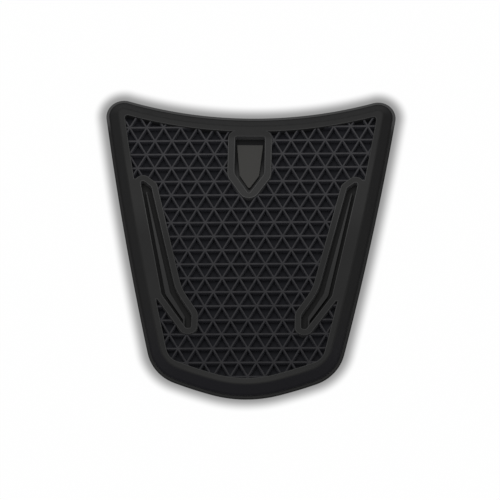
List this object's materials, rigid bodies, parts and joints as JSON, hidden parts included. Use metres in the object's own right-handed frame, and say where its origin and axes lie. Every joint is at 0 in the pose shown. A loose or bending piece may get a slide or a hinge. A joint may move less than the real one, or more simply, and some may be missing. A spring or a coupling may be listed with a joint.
{
  "type": "motorcycle tank pad",
  "caption": "Moulded rubber pad that covers the rear of a motorcycle's fuel tank, with a bevelled rim, triangular ribs, side grooves and a shield recess.",
  "frame": {"origin": "middle of the pad's length and width, on its flat back face", "axes": "+X across the pad to the right, +Y along the centre line from the pointed foot to the hollow top edge, +Z out of the ribbed front face"},
  "size_m": [0.1708, 0.1864, 0.0065],
  "materials": {
    "rubber": "satin black moulded rubber, smooth on the lands and dull in the cells"
  },
  "bodies": {
    "root": {"tank_pad": "rubber"}
  },
  "joints": []
}
